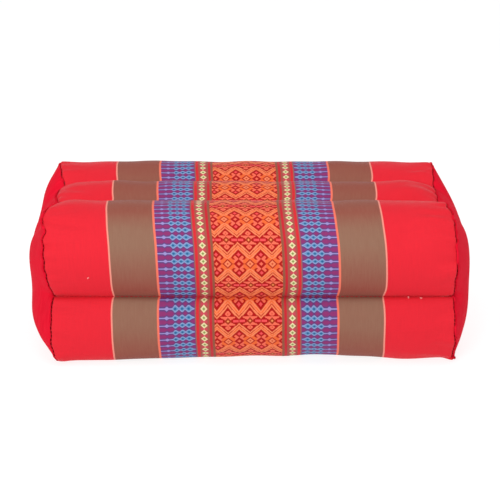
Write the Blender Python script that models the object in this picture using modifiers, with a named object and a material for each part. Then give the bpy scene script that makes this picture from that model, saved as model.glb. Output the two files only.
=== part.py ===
"""A block-shaped floor cushion, standing on its base.

One strip of woven cloth wraps the filling round its girth and is sewn into channels: three rolls
on top, two on the front, two on the back and three underneath. A plain crowned panel closes each
end. X runs along the cushion, Y from front to back and Z up, in metres, with the floor at Z = 0.
"""

import math
from collections import namedtuple

import bmesh
import bpy
from mathutils import Vector

# Driving dimensions of the filled cushion
OVERALL_LENGTH = 0.3570         # over the crowns of both end panels
TOP_SEAM_SPACING = 0.0482       # between the two channel seams on top, and the two underneath
SIDE_SEAM_SPACING = 0.1636      # from the front channel seam through to the back one
TOP_SEAM_HEIGHT = 0.1127
SIDE_SEAM_HEIGHT = 0.0568
BOTTOM_SEAM_HEIGHT = 0.0041
UPPER_ROLL_CLOTH = 0.1254       # cloth round an upper corner roll, from seam to seam
LOWER_ROLL_CLOTH = 0.1180       # round a lower corner roll, which the weight presses flatter
MIDDLE_ROLL_CLOTH = 0.0545      # across a middle roll

# How the rolls finish towards the ends
TAPER_START = 0.72              # share of the half length at which a roll begins to narrow
END_LIFT = 0.0010               # how far the end seams rise off the floor

# Where the cloth meets the floor
FLOOR_BEND = 0.003              # height over which the cloth turns into its flat

# End panels
PANEL_THICKNESS = 0.002
PANEL_GAP = 0.0004              # between the panel and the filling under it
PANEL_CORNER_POWER = 2.8        # squareness of the panel's inner outline
PANEL_WIDTH_SHARE = 0.93        # size of that outline against the ring of the seam
LOBE_FADE = 3.5                 # how fast the scallops of the seam fade towards the panel's middle
CROWN_POWER = 2.9               # 2 is a round crown, more is flatter in the middle
PANEL_CENTRE_HEIGHT = 0.0570

# The tip of seam allowance at the front lower corner of the right end
TIP_STEP = 9                    # the point of the lower front roll that carries it, from the bottom seam
TIP_REACH = Vector((0.0004, -0.0075, 0.0))

# Mesh steps
ROLL_STEPS = 18
MIDDLE_STEPS = 8
STATIONS = (0.0, 0.22, 0.44, 0.62, 0.72, 0.80, 0.87, 0.93, 0.97, 1.0)
CROWN_RINGS = (0.975, 0.90, 0.78, 0.62, 0.44, 0.22)

# Channel seams, in order round the girth from the front one over the top. left and right give how
# far from the middle each seam runs before it meets the end seam.
Seam = namedtuple("Seam", "name y z left right")
HALF_TOP = TOP_SEAM_SPACING / 2
HALF_SIDE = SIDE_SEAM_SPACING / 2
SEAMS = (
    Seam("front", -HALF_SIDE, SIDE_SEAM_HEIGHT, 0.1540, 0.1604),
    Seam("top_front", -HALF_TOP, TOP_SEAM_HEIGHT, 0.1522, 0.1520),
    Seam("top_back", HALF_TOP, TOP_SEAM_HEIGHT, 0.1530, 0.1532),
    Seam("back", HALF_SIDE, SIDE_SEAM_HEIGHT, 0.1560, 0.1560),
    Seam("bottom_back", HALF_TOP, BOTTOM_SEAM_HEIGHT, 0.1545, 0.1545),
    Seam("bottom_front", -HALF_TOP, BOTTOM_SEAM_HEIGHT, 0.1540, 0.1590),
)

# Rolls, each from the seam in the same row above to the next one. left and right give how far the
# end seam lies from the middle halfway round the roll, and fullness the share of its swell that is
# left there.
Roll = namedtuple("Roll", "name cloth fullness left right steps")
ROLLS = (
    Roll("upper_front", UPPER_ROLL_CLOTH, 0.93, 0.1596, 0.1598, ROLL_STEPS),
    Roll("top_middle", MIDDLE_ROLL_CLOTH, 0.66, 0.1562, 0.1542, MIDDLE_STEPS),
    Roll("upper_back", UPPER_ROLL_CLOTH, 0.93, 0.1600, 0.1572, ROLL_STEPS),
    Roll("lower_back", LOWER_ROLL_CLOTH, 1.06, 0.1578, 0.1580, ROLL_STEPS),
    Roll("bottom_middle", MIDDLE_ROLL_CLOTH, 0.66, 0.1555, 0.1555, MIDDLE_STEPS),
    Roll("lower_front", LOWER_ROLL_CLOTH, 1.06, 0.1562, 0.1624, ROLL_STEPS),
)

# Colour and roughness of each finish
WRAP_FINISH = ("woven_wrap", (0.62, 0.045, 0.055, 1.0), 0.80)
PANEL_FINISH = ("plain_red_cotton", (0.56, 0.020, 0.035, 1.0), 0.85)


def half_angle(chord, cloth):
    """Half the angle of the round arc whose length is cloth and whose chord is chord."""
    low = 0.0001
    high = math.pi - 0.0001
    for _ in range(60):
        middle = (low + high) / 2
        if math.sin(middle) / middle > chord / cloth:
            low = middle
        else:
            high = middle
    return (low + high) / 2


def roll_arc(start, finish, cloth, steps):
    """Points (y, z) from one seam to the next, bulging left of the way from start to finish."""
    chord = math.dist(start, finish)
    half = half_angle(chord, max(cloth, chord * 1.0005))
    radius = chord / (2 * math.sin(half))
    along = ((finish[0] - start[0]) / chord, (finish[1] - start[1]) / chord)
    out = (-along[1], along[0])
    middle = ((start[0] + finish[0]) / 2, (start[1] + finish[1]) / 2)
    centre = [middle[k] - out[k] * radius * math.cos(half) for k in (0, 1)]
    points = []
    for step in range(steps):
        angle = half - 2 * half * step / steps
        points.append(tuple(
            centre[k] + radius * (math.cos(angle) * out[k] - math.sin(angle) * along[k]) for k in (0, 1)
        ))
    return points


def settle(height):
    """Height of the cloth once the floor has pressed it: flat below, turning up over FLOOR_BEND."""
    if height >= FLOOR_BEND:
        return height
    if height <= -FLOOR_BEND:
        return 0.0
    return (height + FLOOR_BEND) ** 2 / (4 * FLOOR_BEND)


def girth_ring(station):
    """The closed ring of the wrap at a station from -1 (left end seam) to 1 (right end seam)."""
    taper = max(0.0, (abs(station) - TAPER_START) / (1 - TAPER_START)) ** 2
    side = "left" if station < 0 else "right"
    ring = []
    for number, roll in enumerate(ROLLS):
        seam = SEAMS[number]
        following = SEAMS[(number + 1) % len(SEAMS)]
        start = (seam.y, seam.z)
        finish = (following.y, following.z)
        chord = math.dist(start, finish)
        cloth = chord + (roll.cloth - chord) * (1 - (1 - roll.fullness) * taper)
        from_x = getattr(seam, side)
        to_x = getattr(following, side)
        swell = getattr(roll, side) - (from_x + to_x) / 2
        for step, (y, z) in enumerate(roll_arc(start, finish, cloth, roll.steps)):
            share = step / roll.steps
            reach = from_x + (to_x - from_x) * share + swell * math.sin(math.pi * share)
            lift = END_LIFT * taper * max(0.0, 1 - z / SIDE_SEAM_HEIGHT)
            ring.append(Vector((station * reach, y, settle(z) + lift)))
    return ring


def crown_ring(rim, share, peak):
    """A ring of the crowned end: share 1 is the rim, 0 the middle of the panel."""
    centre = Vector((0.0, PANEL_CENTRE_HEIGHT))
    half_width = max(point.y for point in rim) * PANEL_WIDTH_SHARE
    half_height = PANEL_CENTRE_HEIGHT * PANEL_WIDTH_SHARE
    lobed = share ** LOBE_FADE
    ring = []
    for point in rim:
        spoke = Vector((point.y, point.z)) - centre
        angle = math.atan2(spoke.y / half_height, spoke.x / half_width)
        square = (abs(math.cos(angle)) ** PANEL_CORNER_POWER
                  + abs(math.sin(angle)) ** PANEL_CORNER_POWER) ** (-1 / PANEL_CORNER_POWER)
        cut = Vector((half_width * math.cos(angle) * square, half_height * math.sin(angle) * square))
        spoke = spoke * lobed + cut * (1 - lobed)
        place = centre + spoke * share
        x = point.x + (peak - point.x) * (1 - share ** CROWN_POWER)
        ring.append(Vector((x, place.x, place.y)))
    return ring


def end_rings(side):
    """Rings of one end, from just inside the seam to the last one round the middle, and the middle."""
    rim = girth_ring(side)
    peak = side * (OVERALL_LENGTH / 2 - PANEL_THICKNESS - PANEL_GAP)
    rings = [crown_ring(rim, share, peak) for share in CROWN_RINGS]
    return rings, Vector((peak, 0.0, PANEL_CENTRE_HEIGHT))


def loft(shape, rings):
    """Join rings of equal count with a band of faces between each and the next."""
    rows = [[shape.verts.new(point) for point in ring] for ring in rings]
    for row, following in zip(rows, rows[1:]):
        for k in range(len(row)):
            after = (k + 1) % len(row)
            shape.faces.new((row[k], row[after], following[after], following[k]))
    return rows


def close_ring(shape, row, middle):
    """Close a ring with a fan of faces to its middle point."""
    tip = shape.verts.new(middle)
    for k in range(len(row)):
        shape.faces.new((row[k], row[(k + 1) % len(row)], tip))


def finish_material(finish):
    """The material of a finish: its name, colour and roughness."""
    name, colour, roughness = finish
    material = bpy.data.materials.new(name)
    material.use_nodes = True
    shader = material.node_tree.nodes["Principled BSDF"]
    shader.inputs["Base Color"].default_value = colour
    shader.inputs["Roughness"].default_value = roughness
    shader.inputs["Metallic"].default_value = 0.0
    material.diffuse_color = colour
    return material


def place_object(shape, name, finish, collection):
    """Turn a bmesh into a named, smooth object with its own material."""
    mesh = bpy.data.meshes.new(name)
    shape.to_mesh(mesh)
    shape.free()
    mesh.shade_smooth()
    mesh.materials.append(finish_material(finish))
    piece = bpy.data.objects.new(name, mesh)
    collection.objects.link(piece)
    return piece


def make_wrap_body(collection):
    """The filled body: the channelled wrap from end seam to end seam, and a crown at each end."""
    stations = [-s for s in reversed(STATIONS[1:])] + list(STATIONS)
    left_rings, left_middle = end_rings(-1)
    right_rings, right_middle = end_rings(1)
    rings = list(reversed(left_rings)) + [girth_ring(s) for s in stations] + right_rings
    shape = bmesh.new()
    rows = loft(shape, rings)
    close_ring(shape, rows[0], left_middle)
    close_ring(shape, rows[-1], right_middle)
    bmesh.ops.recalc_face_normals(shape, faces=shape.faces[:])
    return place_object(shape, "wrap_body", WRAP_FINISH, collection)


def make_end_panel(name, side, collection):
    """One crowned end panel: the surface of the body's end, lifted off it and given its thickness."""
    rings, middle = end_rings(side)
    shape = bmesh.new()
    rows = loft(shape, rings)
    close_ring(shape, rows[-1], middle)
    shape.normal_update()
    if sum(face.normal.x for face in shape.faces) * side < 0:
        bmesh.ops.reverse_faces(shape, faces=shape.faces[:])
        shape.normal_update()
    for vertex, outward in [(vertex, vertex.normal.copy()) for vertex in shape.verts]:
        vertex.co += outward * PANEL_GAP
    if side > 0:
        rows[0][TIP_STEP - ROLL_STEPS].co += TIP_REACH
    panel = place_object(shape, name, PANEL_FINISH, collection)
    thickness = panel.modifiers.new("cloth thickness", "SOLIDIFY")
    thickness.thickness = PANEL_THICKNESS
    thickness.offset = 1.0
    return panel


def main():
    for old in list(bpy.data.objects):
        bpy.data.objects.remove(old, do_unlink=True)
    collection = bpy.data.collections.new("zafu")
    bpy.context.scene.collection.children.link(collection)
    make_wrap_body(collection)
    make_end_panel("end_panel_left", -1, collection)
    make_end_panel("end_panel_right", 1, collection)


main()
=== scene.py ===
# %% [markdown]
# A block-shaped floor cushion, stuffed hard with kapok. One strip of patterned cloth goes round its
# girth and is sewn down in six channel seams, so that three rolls show on top and two in front. A
# plain red panel closes each end. The imported model gives the frame: where the object stands and how
# large it is. Everything below is built round that frame.

# %% Load the imported model
import math
from collections import namedtuple

import bmesh
import bpy
import numpy as np
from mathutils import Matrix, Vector


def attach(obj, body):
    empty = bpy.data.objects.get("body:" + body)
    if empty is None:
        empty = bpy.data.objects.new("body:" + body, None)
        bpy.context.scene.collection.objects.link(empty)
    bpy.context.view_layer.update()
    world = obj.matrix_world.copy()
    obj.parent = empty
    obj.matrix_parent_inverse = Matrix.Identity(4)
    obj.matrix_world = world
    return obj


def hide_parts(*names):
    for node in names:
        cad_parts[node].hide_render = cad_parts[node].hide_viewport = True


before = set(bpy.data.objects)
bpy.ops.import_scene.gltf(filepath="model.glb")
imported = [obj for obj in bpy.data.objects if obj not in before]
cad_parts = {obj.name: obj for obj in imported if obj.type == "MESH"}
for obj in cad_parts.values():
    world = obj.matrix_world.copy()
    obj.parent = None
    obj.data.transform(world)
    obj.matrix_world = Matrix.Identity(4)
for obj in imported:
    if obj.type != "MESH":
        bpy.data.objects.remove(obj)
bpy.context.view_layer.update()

# %% [markdown]
# The cushion's section is worked out as a sewer would: six seams hold the cloth in, and between two
# seams the filling pushes a known length of cloth out into a round arc. The seams and cloth lengths
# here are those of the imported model, written out again because this file can't read its source. Where
# the rolls begin to narrow and how full two of them stay at the ends is set anew, closer to the photo.

# %% Sizes of the filled cushion, in metres
LENGTH_OVER_PANELS = 0.3570
SEAM_SPACING_TOP = 0.0482
SEAM_SPACING_SIDE = 0.1636
SEAM_HEIGHT_TOP = 0.1127
SEAM_HEIGHT_SIDE = 0.0568
SEAM_HEIGHT_BOTTOM = 0.0041
CLOTH_UPPER_ROLL = 0.1254
CLOTH_LOWER_ROLL = 0.1180
CLOTH_MIDDLE_ROLL = 0.0545
TAPER_FROM = 0.80          # share of the half length where the rolls begin to narrow
RIM_LIFT = 0.0010          # how far the end seams rise off the floor
FLOOR_BEND = 0.003         # height over which cloth turns into its flat on the floor
PANEL_MIDDLE_HEIGHT = 0.0570

# left and right: how far from the middle the end seam lies at that channel seam
ChannelSeam = namedtuple("ChannelSeam", "name y z left right")
CHANNEL_SEAMS = (
    ChannelSeam("front", -SEAM_SPACING_SIDE / 2, SEAM_HEIGHT_SIDE, 0.1540, 0.1604),
    ChannelSeam("top_front", -SEAM_SPACING_TOP / 2, SEAM_HEIGHT_TOP, 0.1522, 0.1520),
    ChannelSeam("top_back", SEAM_SPACING_TOP / 2, SEAM_HEIGHT_TOP, 0.1530, 0.1532),
    ChannelSeam("back", SEAM_SPACING_SIDE / 2, SEAM_HEIGHT_SIDE, 0.1560, 0.1560),
    ChannelSeam("bottom_back", SEAM_SPACING_TOP / 2, SEAM_HEIGHT_BOTTOM, 0.1545, 0.1545),
    ChannelSeam("bottom_front", -SEAM_SPACING_TOP / 2, SEAM_HEIGHT_BOTTOM, 0.1540, 0.1590),
)

# left and right: how far from the middle the end seam lies halfway round the roll. fullness: the share
# of the roll's swell that is left there. steps: how many points the grid has round it. sag: how far it
# has sunk, in metres
Roll = namedtuple("Roll", "name cloth fullness left right steps sag")
ROLLS = (
    Roll("upper_front", CLOTH_UPPER_ROLL, 0.93, 0.1596, 0.1598, 46, 0.0),
    Roll("top_middle", CLOTH_MIDDLE_ROLL, 0.08, 0.1562, 0.1542, 20, 0.0),
    Roll("upper_back", CLOTH_UPPER_ROLL, 1.00, 0.1600, 0.1572, 46, 0.0013),
    Roll("lower_back", CLOTH_LOWER_ROLL, 1.06, 0.1578, 0.1580, 44, 0.0),
    Roll("bottom_middle", CLOTH_MIDDLE_ROLL, 0.66, 0.1555, 0.1555, 20, 0.0),
    Roll("lower_front", CLOTH_LOWER_ROLL, 1.06, 0.1562, 0.1624, 44, 0.0),
)
GIRTH_STEPS = sum(roll.steps for roll in ROLLS)
print("cloth round the girth, mm:", round(1000 * sum(roll.cloth for roll in ROLLS)))


# %% The round arc of cloth between two seams
def half_angle(chord, cloth):
    """Half the angle of the arc that has this chord and this length of cloth."""
    low, high = 0.0001, math.pi - 0.0001
    for _ in range(60):
        middle = (low + high) / 2
        if math.sin(middle) / middle > chord / cloth:
            low = middle
        else:
            high = middle
    return (low + high) / 2


def roll_arc(start, finish, cloth, shares):
    """Points (y, z) at shares of the way round a roll, from its first seam to its second."""
    chord = math.dist(start, finish)
    half = half_angle(chord, max(cloth, chord * 1.0005))
    radius = chord / (2 * math.sin(half))
    along = np.subtract(finish, start) / chord
    out = np.array((-along[1], along[0]))
    centre = np.add(start, finish) / 2 - out * radius * math.cos(half)
    angle = (half - 2 * half * shares)[:, None]
    return centre + radius * (np.cos(angle) * out - np.sin(angle) * along)


def table(points, at):
    """Values read off a short table of (place, value) points."""
    return np.interp(at, [point[0] for point in points], [point[1] for point in points])


def settle(height):
    """Heights after the floor has pressed the cloth flat."""
    bent = (height + FLOOR_BEND) ** 2 / (4 * FLOOR_BEND)
    return np.where(height >= FLOOR_BEND, height, np.where(height <= -FLOOR_BEND, 0.0, bent))


SEAM_STEPS = (0.0009, 0.0024)      # distances from a seam at which the grid has extra points
SHOULDER = (0.0006, 0.0033)        # how much fuller a lower roll is just under its upper seam: out, up
SHOULDER_AT = 0.0046
# (place along the cushion, how much further forward its lower front edge meets the floor), metres
FOOT = (
    (-0.160, 0.0095), (-0.148, 0.0105), (-0.136, 0.0085), (-0.119, 0.0055), (-0.085, 0.0042),
    (-0.060, 0.0010), (-0.034, -0.0018), (0.030, -0.0024), (0.051, -0.0056), (0.068, -0.0056),
    (0.085, -0.0024), (0.105, 0.0006), (0.119, 0.0020), (0.150, 0.0008),
)
FOOT_HEIGHT = 0.016
PINCH_DEPTH = 0.0007               # how deep a channel seam pulls its line of cloth in
PINCH_REACH = 0.0009
FADE_POWER = 1.5                   # a fade that holds on at first and then drops quickly


def shares_round(roll):
    """Where the grid has its points round a roll, closer together beside its two seams."""
    near = [distance / roll.cloth for distance in SEAM_STEPS]
    inner = np.linspace(near[-1], 1 - near[-1], roll.steps - 3)
    return np.concatenate(([0.0, near[0]], inner, [1 - near[0]]))


def girth_ring(station, pinch_depth=PINCH_DEPTH):
    """The ring of cloth at a station from -1, the left end seam, to 1, the right end seam."""
    taper = max(0.0, (abs(station) - TAPER_FROM) / (1 - TAPER_FROM)) ** 2
    side = "left" if station < 0 else "right"
    ring = []
    for number, roll in enumerate(ROLLS):
        seam = CHANNEL_SEAMS[number]
        following = CHANNEL_SEAMS[(number + 1) % len(CHANNEL_SEAMS)]
        start, finish = (seam.y, seam.z), (following.y, following.z)
        chord = math.dist(start, finish)
        cloth = chord + (roll.cloth - chord) * (1 - (1 - roll.fullness) * taper)
        shares = shares_round(roll)
        from_x, to_x = getattr(seam, side), getattr(following, side)
        swell = getattr(roll, side) - (from_x + to_x) / 2
        places = roll_arc(start, finish, cloth, shares)
        reach = from_x + (to_x - from_x) * shares + swell * np.sin(math.pi * shares)
        from_seam = np.minimum(shares, 1 - shares) * roll.cloth
        middle = np.array((0.0, PANEL_MIDDLE_HEIGHT))
        inwards = middle - places
        inwards /= np.linalg.norm(inwards, axis=1)[:, None]
        pinch = pinch_depth * np.exp(-(from_seam / PINCH_REACH) ** FADE_POWER)
        places = places + inwards * pinch[:, None]
        if roll.name.startswith("lower"):
            from_top = (1 - shares if roll.name == "lower_front" else shares) * roll.cloth / SHOULDER_AT
            fuller = from_top ** 2 * np.exp(2 - 2 * from_top)
            places = places + fuller[:, None] * np.array((math.copysign(SHOULDER[0], seam.y), SHOULDER[1]))
        lift = RIM_LIFT * taper * np.maximum(0.0, 1 - places[:, 1] / SEAM_HEIGHT_SIDE)
        height = settle(places[:, 1]) + lift - roll.sag * np.sin(math.pi * shares)
        along = station * reach
        if roll.name == "lower_front":
            near_floor = np.exp(-(height / FOOT_HEIGHT) ** 2) * np.sin(math.pi * np.minimum(0.5, shares))
            places[:, 0] -= table(FOOT, along) * near_floor
        ring.append(np.column_stack((along, places[:, 0], height)))
    return np.concatenate(ring)


middle_ring = girth_ring(0.0)
print("height of the section, mm:", round(1000 * (middle_ring[:, 2].max() - middle_ring[:, 2].min()), 1))

# %% [markdown]
# Each place on the cloth needs two numbers that stay with the threads: how far it is along the
# cushion, and how far round it. The pattern is drawn from these, so it follows every bend. Sewing
# eased the cloth a little, so a few points say where the rows of the pattern really came to lie.

# %% Cloth coordinates round the girth, in centimetres
CM = 100.0
seam_at = np.concatenate(([0.0], np.cumsum([CM * roll.cloth for roll in ROLLS])))
girth_cm = np.concatenate([
    start + CM * roll.cloth * shares_round(roll) for start, roll in zip(seam_at, ROLLS)
])
roll_of = np.repeat(np.arange(len(ROLLS)), [roll.steps for roll in ROLLS])

ROW_PITCH = 0.636          # from one small woven diamond to the next, cm
FLOWER_ROW = -0.20         # where a row of flowers lies, against the small diamonds
REPEAT_LENGTH = 6 * ROW_PITCH

# (distance round the girth, distance on the unrolled cloth), both cm
EASED = {
    "upper_front": ((0.0, -5.60), (1.15, -4.45), (1.78, -3.82), (2.42, -3.18), (3.06, -2.54), (3.67, -1.91),
                    (4.28, -1.27), (4.91, -0.64), (5.56, 0.0), (6.17, 0.64), (6.74, 1.27), (7.31, 1.91),
                    (7.79, 2.54), (8.29, 3.18), (8.90, 3.82), (12.54, 8.0)),
    "top_middle": ((12.54, 10.64), (13.0, 11.25), (14.45, 13.16), (17.99, 17.5)),
    "upper_back": ((17.99, 19.9), (18.77, 20.79), (30.53, 33.0)),
    "lower_back": ((30.53, 33.2), (42.33, 45.0)),
    "bottom_middle": ((42.33, 45.2), (47.78, 50.7)),
    "lower_front": ((47.78, 50.88), (55.85, 58.95), (57.72, 60.86), (59.58, 62.75)),
}

# (distance round the girth, how far the pattern lies off the cushion's middle), both cm
DRIFT = ((0.0, -0.03), (1.2, 0.01), (2.4, -0.01), (3.3, -0.045), (4.1, -0.08), (4.9, -0.13), (5.6, -0.20),
         (6.4, -0.29), (7.4, -0.37), (8.6, -0.465), (12.54, -0.55), (13.1, -0.34), (16.3, -0.43),
         (18.0, -0.40), (18.8, -0.355), (21.0, -0.465), (30.0, -0.30), (42.0, 0.0), (54.5, 0.01),
         (56.0, -0.04), (57.7, -0.055), (59.2, -0.09), (59.58, -0.03))
SEAM_PULL = 0.013          # share by which a channel seam gathers the cloth along its line
PULL_REACH = 0.8           # how far from the seam that still shows, cm

# A column of faces runs from one grid point to the next, so each has a row at its start and at its end
ends_cm = np.append(girth_cm[1:], seam_at[-1])
row_start = np.array([table(EASED[ROLLS[roll_of[k]].name], girth_cm[k]) for k in range(GIRTH_STEPS)])
row_end = np.array([table(EASED[ROLLS[roll_of[k]].name], ends_cm[k]) for k in range(GIRTH_STEPS)])
to_seam = np.abs(girth_cm[:, None] - seam_at[None, :]).min(axis=1)
gathering = 1 + SEAM_PULL * np.exp(-(to_seam / PULL_REACH) ** 2)
drift = table(DRIFT, girth_cm)


def across_cm(x, column):
    """The cloth's coordinate along the cushion, for a place at x metres in a grid column."""
    return CM * x * gathering[column] - drift[column]


# %% [markdown]
# Both cloths are sewn right sides together and turned, so at an end seam each one dives into a
# narrow crease. The stitches gather the cloth: small swellings stand beside the crease, with a fold
# between each and the next, and the crease itself wanders a little. One list of folds for each end
# serves the wrap and the panel, because one row of stitches made both.

# %% The folds along an end seam
CREASE_DEPTH = 0.0034
FINE_WANDER = 0.00030      # how far the crease leaves its line over a few stitches, each way
FINE_WAVES = (34, 75)      # the fewest and most of those waves round the girth
BROAD_WANDER = 0.0006      # and over a few folds
BROAD_WAVES = (9, 26)
SCALLOP = 0.0015           # how much further out it runs along a swelling than at a fold
FOLD_PITCH = (0.6, 1.6)    # cm from one fold to the next
FOLD_STRENGTH = (0.2, 1.0)
FOLD_REACH = (0.7, 3.2)    # how far a fold runs in over the cushion, cm
FOLD_LEAN = 0.45           # how far it may slant, cm round the girth for each cm inwards
LEAN_WAVES = (3, 8)
WRAP_FOLD_HEIGHT = 0.0030  # how far the largest swelling stands out beside the seam
FOLD_ROUNDNESS = 0.6       # 1 is a plain wave, less is a fuller swelling with a sharper fold

# single deeper gathers: the end, where round the girth (cm), how far in (m), half its width (cm)
Gather = namedtuple("Gather", "side at depth width")
GATHERS = (
    Gather(-1, 6.1, 0.0032, 0.42),
    Gather(-1, 7.6, -0.0022, 0.60),
    Gather(-1, 10.6, 0.0068, 1.30),
    Gather(-1, 14.8, -0.0010, 1.20),
    Gather(-1, 21.0, -0.0018, 2.20),
    Gather(-1, 0.6, 0.0016, 1.60),
    Gather(1, 8.9, 0.0016, 0.40),
    Gather(1, 11.2, 0.0042, 1.30),
    Gather(1, 0.0, 0.0012, 0.25),
    Gather(1, 15.4, 0.0012, 0.50),
    Gather(1, 22.0, 0.0020, 1.60),
)

# single furrows that run in from the seam: the end, where round the girth (cm), how deep (m), half the
# width (cm), how far in (cm), and how much it slants (cm round the girth for each cm inwards)
Furrow = namedtuple("Furrow", "side at depth width reach lean")
FURROWS = (
    Furrow(-1, 7.1, 0.0028, 0.32, 2.9, -0.20),
    Furrow(-1, 5.7, 0.0026, 0.28, 2.6, -0.06),
    Furrow(-1, 4.9, 0.0023, 0.26, 2.2, 0.00),
    Furrow(-1, 58.3, 0.0026, 0.28, 2.8, 0.02),
    Furrow(-1, 57.6, 0.0009, 0.24, 1.7, -0.06),
    Furrow(-1, 14.2, 0.0010, 0.34, 3.0, 0.10),
    Furrow(1, 7.9, 0.0020, 0.28, 2.8, -0.10),
    Furrow(1, 7.1, 0.0022, 0.26, 3.6, -0.22),
    Furrow(1, 6.2, 0.0018, 0.28, 4.8, -0.16),
    Furrow(1, 3.6, 0.0008, 0.26, 2.4, 0.10),
    Furrow(1, 13.6, 0.0012, 0.34, 3.0, -0.30),
    Furrow(1, 15.6, 0.0014, 0.36, 3.4, -0.26),
    Furrow(1, 19.2, 0.0014, 0.34, 3.2, -0.40),
    Furrow(1, 20.6, 0.0012, 0.34, 2.8, -0.40),
    Furrow(1, 58.2, 0.0008, 0.26, 2.4, 0.00),
)


def smooth_wave(seed, waves, count=9):
    """A wave round the girth from -1 to 1 that closes on itself, of several lengths."""
    draw = np.random.default_rng(seed)
    turn = 2 * math.pi * girth_cm / seam_at[-1]
    wave = sum(
        draw.uniform(0.4, 1.0) * np.sin(turn * draw.integers(*waves) + draw.uniform(0, 2 * math.pi))
        for _ in range(count)
    )
    return wave / np.abs(wave).max()


Folds = namedtuple("Folds", "swelling reach lean")


def draw_folds(seed):
    """For each grid column: the swelling there, 0 to 1, how far it runs inwards and how it slants."""
    draw = np.random.default_rng(seed)
    total = seam_at[-1]
    starts = [0.0]
    while starts[-1] < total - FOLD_PITCH[1]:
        starts.append(starts[-1] + draw.uniform(*FOLD_PITCH))
    starts = np.array(starts)
    strength = draw.uniform(*FOLD_STRENGTH, len(starts))
    reach = draw.uniform(*FOLD_REACH, len(starts))
    nearest = np.searchsorted(starts, girth_cm, side="right") - 1
    following = np.append(starts[1:], total)[nearest]
    share = (girth_cm - starts[nearest]) / (following - starts[nearest])
    swelling = np.sin(math.pi * share) ** FOLD_ROUNDNESS * strength[nearest]
    middles = (starts + np.append(starts[1:], total)) / 2
    even_reach = np.interp(girth_cm, middles, reach, period=total)
    return Folds(swelling, even_reach, FOLD_LEAN * smooth_wave(seed + 3, LEAN_WAVES))


def fold_height(side, distance):
    """How far the cloth stands out at each column, this many metres from the end seam; 0 is its mean."""
    these = folds[side]
    away = CM * distance
    slanted = girth_cm - these.lean * away
    swelling = np.interp(slanted, girth_cm, these.swelling, period=seam_at[-1])
    reach = np.interp(slanted, girth_cm, these.reach, period=seam_at[-1])
    height = WRAP_FOLD_HEIGHT * (swelling - these.swelling.mean()) * np.exp(-(away / reach) ** FADE_POWER)
    for furrow in FURROWS:
        if furrow.side == side:
            aside = (girth_cm - furrow.at - furrow.lean * away) / furrow.width
            height -= furrow.depth * np.exp(-aside ** 2 - (away / furrow.reach) ** 2)
    return height


def crease_line(side, seed):
    """How far each column's crease lies beyond the end seam's smooth line, in metres."""
    line = FINE_WANDER * smooth_wave(seed, FINE_WAVES) + BROAD_WANDER * smooth_wave(seed + 7, BROAD_WAVES)
    line += SCALLOP * (folds[side].swelling - folds[side].swelling.mean())
    for gather in GATHERS:
        if gather.side == side:
            away = np.abs(girth_cm - gather.at)
            away = np.minimum(away, seam_at[-1] - away)
            line -= gather.depth * np.exp(-(away / gather.width) ** 2)
    return line


END_SEEDS = {-1: 21, 1: 34}
folds = {side: draw_folds(seed + 1) for side, seed in END_SEEDS.items()}
crease_wander = {side: crease_line(side, seed) for side, seed in END_SEEDS.items()}
for side, line in crease_wander.items():
    print("end", side, "crease leaves its line by, mm:", round(1000 * np.ptp(line), 1))

# %% [markdown]
# The cover is one closed surface: the wrap from end seam to end seam, its two edges turned into
# their creases, and a plain bulge under each end panel to close it. Rings of points run round the
# girth, closer together near the ends where the cloth puckers.

# %% The end of the cushion
PANEL_CORNER_POWER = 2.8   # how square the panel's inner outline is
PANEL_WIDTH_SHARE = 0.93   # the size of that outline against the seam's
LOBE_FADE = 4.5            # how fast the seam's scallops fade towards the panel's middle
EVENING = 160              # how fast the panel loses the rim's unevenness towards its middle
PANEL_PINCH = 0.0004       # the panel is pulled in far less than the wrap at a channel seam
CROWN_POWER = 2.9          # 2 is a round crown, more is flatter in the middle
PANEL_CLOTH = 0.0010       # thickness of the panel's cloth
UNDER_PANEL = 0.0100       # how far the wrap's closed end stays inside the panel, dents and all
WANDER_REACH = 0.0100      # how far in over the wrap the crease's wander is still felt
TUCK_AT = 53.2             # where round the girth the bottom corner is folded under, cm
TUCK_WIDTH = 1.7
TUCK_REACH = 0.0090
TUCK = {-1: 0.0038, 1: 0.0015}
EAR_AT = 53.0              # the corner of the seam that sticks out as a small ear at the right
EAR_WIDTH = 0.36
EAR = (0.0030, -0.0078)    # how far it sticks out along the cushion and towards the front
EAR_REACH = 0.0045


def evened(values):
    """Values round a ring, each mixed with its two neighbours."""
    return values / 2 + (np.roll(values, 1, axis=0) + np.roll(values, -1, axis=0)) / 4


def crown_ring(rim, share, peak):
    """A ring of the crowned end: share 1 is the rim, 0 the middle of the panel."""
    centre = np.array((0.0, PANEL_MIDDLE_HEIGHT))
    half_width = rim[:, 1].max() * PANEL_WIDTH_SHARE
    half_height = PANEL_MIDDLE_HEIGHT * PANEL_WIDTH_SHARE
    spoke = rim[:, 1:] - centre
    rim_x = rim[:, 0]
    for _ in range(round(EVENING * (1 - share))):
        spoke = evened(spoke)
        rim_x = evened(rim_x)
    angle = np.arctan2(spoke[:, 1] / half_height, spoke[:, 0] / half_width)
    power = PANEL_CORNER_POWER
    square = (np.abs(np.cos(angle)) ** power + np.abs(np.sin(angle)) ** power) ** (-1 / power)
    cut = np.column_stack((half_width * np.cos(angle) * square, half_height * np.sin(angle) * square))
    lobed = share ** LOBE_FADE
    place = centre + (spoke * lobed + cut * (1 - lobed)) * share
    x = rim_x + (peak - rim_x) * (1 - share ** CROWN_POWER)
    return np.column_stack((x, place))


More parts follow.
